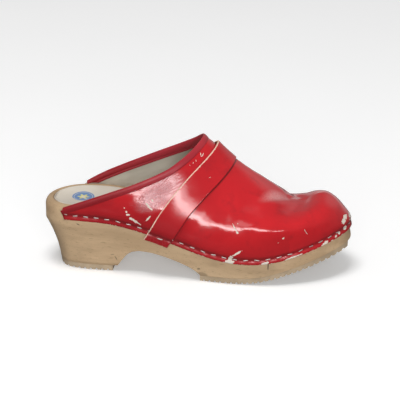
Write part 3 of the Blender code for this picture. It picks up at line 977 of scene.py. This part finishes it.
def makeBinding():
    mesh = bmesh.new()
    look = bindingLook
    steps = [(i + 1) / look["columns"] for i in range(look["columns"])]
    line = [(-1, step) for step in steps] + [(1, step) for step in reversed(steps[:-1])]
    leather, under = clog["leather"], look["under"]
    half = leather / 2
    crown = half + look["crown"]
    deepest = look["inner"][-1][0]

    @cache
    def section(side, forward):
        def surface(width, outwards):
            u, share = collar(forward, round(width, 3), side)
            return np.array(skin(mirrored(u, side), share, outwards))

        edge, below = surface(0, -half), surface(1.0, -half)
        up = (edge - below) / np.linalg.norm(edge - below)
        out = surface(0, 0) - surface(0, -leather)
        out /= np.linalg.norm(out)
        base = station("rim", mirrored(collar(forward, 0, side)[0], side))
        room = min(deepest, max(edge[2] - base - 0.5, 0.8))  # shallower at the tails
        points = [surface(width, off) for width, off in look["outer"]]
        for turn in look["crownTurns"]:
            angle = math.radians(turn)
            points.append(edge + out * math.cos(angle) * crown + up * math.sin(angle) * crown)
        for width, off in look["inner"]:
            fitted = width * room / deepest if width > 3 else min(width, room)
            points.append(surface(fitted, -leather - off))
        points += [surface(room, -leather - under), surface(room / 2, -leather - under)]
        points += [edge - out * (half + under), edge + up * under, edge + out * (half + under)]
        points.append(surface(2.4, under))
        # a smooth closed line through them
        fine = []
        for i in range(len(points)):
            a, b, c, d = (points[(i + k) % len(points)] for k in (-1, 0, 1, 2))
            reach = 1.2 * np.linalg.norm(c - b)
            slopes = [slope * min(1, reach / max(np.linalg.norm(slope), 1e-6))
                      for slope in ((c - a) / 2, (d - b) / 2)]
            fine += [hermite((b, c), slopes, t) for t in (0, 0.5)]
        return fine + [fine[0]]

    rows = len(section(*line[0])) - 1
    patch(mesh, len(line) - 1, rows, lambda i, j: section(*line[i])[j])
    bmesh.ops.remove_doubles(mesh, verts=mesh.verts, dist=0.004 * mm)
    bmesh.ops.holes_fill(mesh, edges=[edge for edge in mesh.edges if edge.is_boundary])
    made = finishMesh("clog_binding", mesh, [bindingLeather], 50)
    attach(made, "root")
    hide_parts("binding")


makeBinding()
print("binding made")

stapleLook = {
    "length": 5.6,
    "width": 0.75,
    "thickness": 0.45,
    "bend": 0.9,
    "sunk": 0.05,
    "strapDrop": 2.4,  # those on the strap sit lower
    "tailRise": 0.8,  # and the first of each side higher
    "askew": 0.14,
}


def stapleShape():
    # a flat wire with its ends bent down into the leather
    look = stapleLook
    mesh = bmesh.new()
    bmesh.ops.create_cube(mesh, size=1.0)
    longEdges = [edge for edge in mesh.edges if abs(edge.verts[0].co.x - edge.verts[1].co.x) > 0.5]
    bmesh.ops.subdivide_edges(mesh, edges=longEdges, cuts=5)
    outline = [edge for edge in mesh.edges if edge.calc_face_angle(0) > 1.0]
    for corner in mesh.verts:
        dip = max(0, abs(corner.co.x) * 2 - 0.6) / 0.4  # 0 on the flat, 1 at the tips
        corner.co.x *= look["length"] * (1 - 0.03 * dip)
        corner.co.y *= look["width"] * (1 - 0.15 * dip)
        corner.co.z = corner.co.z * look["thickness"] - look["bend"] * dip**2
    bmesh.ops.bevel(mesh, geom=outline, offset=0.15, segments=1, profile=0.5, affect="EDGES", material=-1)
    bmesh.ops.scale(mesh, vec=(mm, mm, mm), verts=mesh.verts)
    shape = bpy.data.meshes.new("staple shape")
    mesh.to_mesh(shape)
    mesh.free()
    return shape


def makeStaples():
    mesh = bmesh.new()
    look = stapleLook
    shape = stapleShape()

    def lowEdge(u):
        return station("rim", u) - station("flange", u)

    for side in (-1, 1):
        us, lengths = rimLengths(side)
        for index, at in enumerate(staplePlaces(side)):
            here = mirrored(float(np.interp(at, lengths, us)), side)
            height = upperLook["stapleHeight"] + (look["tailRise"] if index == 0 else 0)
            z = lowEdge(here) + height
            point = skin(here, shareAt(here, z))
            rear, front = strapAt(z)
            off = look["thickness"] / 2 - look["sunk"]
            if rear + 2 < point[0] < front - 2:
                forward = (point[0] - rear) / (front - rear)
                height -= look["strapDrop"]
                off += clog["gap"] + clog["strapLeather"]
                off += strapLook["rearRise"] * (1 - forward) ** 3 + forward * (1 - forward)
            else:
                off += tuckAt(at, upperLook["stapleHeight"], [at]) - float(creased(np.array([point]))[0])

            def surface(step, further=0):
                u = mirrored(float(np.interp(at + step, lengths, us)), side)
                return toWorld(skin(u, shareAt(u, lowEdge(u) + height), off + further))

            ahead = (surface(2) - surface(-2)).normalized()
            up = (surface(0, 1) - surface(0)).cross(ahead).normalized()
            if up.z < 0:
                up = -up
            ahead = (ahead + up * look["askew"] * math.sin(index * 2.4 + side)).normalized()
            up = (up - ahead * up.dot(ahead)).normalized()
            turn = Matrix((ahead, up, ahead.cross(up))).transposed().to_4x4()
            first = len(mesh.verts)
            mesh.from_mesh(shape)
            mesh.verts.ensure_lookup_table()
            bmesh.ops.transform(mesh, matrix=Matrix.Translation(surface(0)) @ turn, verts=mesh.verts[first:])
    made = finishMesh("clog_staples", mesh, [steel()], 45)
    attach(made, "root")


makeStaples()
print("staples made")

soleLook = {
    "across": 24,
    "lip": 0.8,  # the wood round the insole rises this far above the rim
    # distance in from the wall and down from the rim, round the rim's edge
    "rim": ((0, 12), (0, 9), (0, 6.5), (0, 4.2), (0.2, 2.8), (0.65, 1.7), (1.3, 0.8), (2.2, 0.1), (3.2, -0.5),
            (4.4, -0.85), (5.4, -0.9), (6.4, -0.8), (clog["ledge"], 1)),
}


def soleStations():
    # they lie closest under the arch
    close = [solve(lambda u: plan(u)[0] < x, 1.0, 13.0) for x in np.linspace(57, 136, 50)]
    before = list(np.linspace(0, close[0], 40)[:-1])
    after = list(np.linspace(close[-1], lastRow, 75)[1:])
    return before + close + after


def hollow(x, z, share):
    # the footbed sags between the two sides
    return z - along("footbedSag", "sag", x) * 4 * share * (1 - share)


def makeShell(name, rings, under, over, finish):
    # rings of points round the shoe from the bottom up, closed below and above by ladders
    mesh = bmesh.new()
    us = soleStations()
    loop = [*us, *[fullTurn - u for u in reversed(us)][1:]]
    patch(mesh, len(loop) - 1, len(rings) - 1, lambda i, j: rings[j](loop[i]))
    across = soleLook["across"]

    def lid(edge, height):
        def place(i, j):
            near, far = np.array(edge(us[i])), np.array(edge(fullTurn - us[i]))
            share = j / across
            x, y, z = near + (far - near) * share
            return (x, y, z if j in (0, across) else height(x, z, share))

        patch(mesh, len(us) - 1, across, place)

    lid(rings[0], under)
    lid(rings[-1], over)
    return finishMesh(name, mesh, [finish], 55)


def makeSole():
    def foot(u):
        return woodBottom(wall(u, woodBottom(plan(u)[0]))[0])

    def bottomRing(inset, lift):
        def point(u):
            x, y, z = wall(u, foot(u) + lift)
            _, _, outX, outY = rimFrame(u)
            return x - outX * inset, y - outY * inset, z

        return point

    def sideRing(share):
        return lambda u: wall(u, foot(u) + share * (station("rim", u) - clog["band"] - foot(u)))

    def rimRing(inset, drop):
        def point(u):
            z = station("rim", u) - drop
            return (*plan(u, flared(u, z) - inset), z)

        return point

    rings = [bottomRing(0.1, 0), bottomRing(0, 0.1)]
    rings += [sideRing(i / 12) for i in range(1, 13)]
    rings += [rimRing(*corner) for corner in soleLook["rim"]]
    made = makeShell("clog_sole", rings, lambda x, z, share: woodBottom(x), hollow, wood)
    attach(made, "root")
    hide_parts("sole")


def makeInsole():
    def ringAt(inset, down):
        return lambda u: (*plan(u, -clog["ledge"] - inset), station("rim", u) + soleLook["lip"] - down)

    # inset and depth below its top, round the insole's edge
    edge = ((0.25, clog["insole"]), (0.1, clog["insole"] - 0.4), (0.1, 0.45), (0.3, 0.12), (0.8, 0))
    rings = [ringAt(*corner) for corner in edge]
    made = makeShell("clog_insole", rings, hollow, hollow, stampedLeather())
    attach(made, "root")
    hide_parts("insole")


makeSole()
makeInsole()
for name in ("tread_heel", "tread_front"):
    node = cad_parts[name]
    node.data.materials.clear()
    node.data.materials.append(rubber(name + " rubber", (0.63, 0.48, 0.32, 1), (0.48, 0.36, 0.235, 1)))
print("sole, insole and treads made")

stageLook = {
    "floor": 6.0,
    "floorGlow": 0.25,
    "camera": (150.2, -1406.74, 564.33),
    "azimuth": 6.0,
    "elevation": 20.0,
    "aim": (-0.000333, 0.003829),  # to the right and up
    "lens": 162.2,
    "sky": 0.26,
    "ground": 0.15,
}


def makeFloor():
    mesh = bmesh.new()
    bmesh.ops.create_circle(mesh, cap_ends=True, segments=96, radius=stageLook["floor"])
    bmesh.ops.translate(mesh, verts=mesh.verts, vec=(0, 0, -0.0002))
    made, shader, place = startMaterial("pale floor")
    tone = mix(grain(place, 3, 2), (0.86, 0.86, 0.86, 1), (0.9, 0.9, 0.9, 1))
    setInputs(shader, {"Base Color": tone, "Roughness": 0.9, "Emission Color": (1, 1, 1, 1),
                       "Emission Strength": stageLook["floorGlow"]})
    floor = finishMesh("floor", mesh, [made])
    floor.visible_glossy = floor.visible_diffuse = False


def direction(azimuth, elevation):
    a, e = math.radians(azimuth), math.radians(elevation)
    return Vector((math.sin(a) * math.cos(e), -math.cos(a) * math.cos(e), math.sin(e)))


lights = (
    # azimuth from the front, height, distance; width and height in metres; power; what it adds
    ("window", (-8, 9.5, 2.2), (1.26, 0.25), 17, "shine"),
    ("windowTop", (-8, 16, 2.2), (1.2, 0.25), 6, "shine"),
    ("sideWindow", (19, 11, 2.2), (0.7, 0.16), 5, "shine"),
    ("tallWindow", (-28, 30, 2.4), (0.7, 0.7), 4, "shine"),
    ("ceiling", (-20, 78, 2.4), (0.9, 0.9), 31, "shade"),
    ("fill", (8, 14, 3.0), (1.6, 1.6), 52, "shade"),
)


# Glows in the room's wall: middle, angles at which they start and stop fading, brightness.
glows = (
    {"at": (152, 27), "reach": (4, 28), "bright": 0.25},
    {"at": (172, -1), "reach": (10, 45), "bright": 0.5, "flat": 11},
)


def addLight(name, place, size, power, use):
    data = bpy.data.lights.new(name, "AREA")
    data.shape = "RECTANGLE"
    data.size, data.size_y = size
    data.energy = power
    lamp = addObject(name, data)
    azimuth, elevation, distance = place
    back = direction(azimuth, elevation)
    lamp.location = Vector((0, 0, 0.05)) + back * distance
    lamp.rotation_euler = back.to_track_quat("Z", "Y").to_euler()
    lamp.visible_camera = False
    lamp.visible_diffuse = use == "shade"
    lamp.visible_glossy = use == "shine"


def makeWorld():
    # an even room, darker towards the ground, with soft glows behind the clog
    world = bpy.data.worlds.new("studio")
    world.use_nodes = True
    tree = world.node_tree
    looking = addNode("TexCoord", {}, tree).outputs["Generated"]
    height = addNode("SeparateXYZ", {0: looking}).outputs[2]
    strength = soften(height, -0.15, 0.2, stageLook["ground"], stageLook["sky"])
    for glow in glows:
        near = addNode("VectorMath", {0: looking, 1: direction(*glow["at"])}, operation="DOT_PRODUCT")
        reach = calc("ARCCOSINE", near.outputs["Value"])
        lit = soften(reach, *(math.radians(angle) for angle in glow["reach"]), glow["bright"], 0)
        if "flat" in glow:
            flat = math.sin(math.radians(glow["flat"]))
            lit = times(lit, soften(calc("ABSOLUTE", height), 0, flat, 1, 0))
        strength = calc("ADD", strength, lit)
    setInputs(tree.nodes["Background"], {"Strength": strength, "Color": (1, 1, 1, 1)})
    bpy.context.scene.world = world


makeFloor()
for light in lights:
    addLight(*light)
makeWorld()
bpy.context.scene.view_settings.view_transform = "Standard"

back = direction(stageLook["azimuth"], stageLook["elevation"])
right = direction(stageLook["azimuth"] + 90, 0)
up = back.cross(right)
aimRight, aimUp = stageLook["aim"]
aim = (-back + aimRight * right + aimUp * up).normalized()
cameraData = bpy.data.cameras.new("camera")
cameraData.lens = stageLook["lens"]
camera = addObject("camera", cameraData)
camera.location = Vector(stageLook["camera"]) * mm
camera.rotation_euler = aim.to_track_quat("-Z", "Y").to_euler()
bpy.context.scene.camera = camera
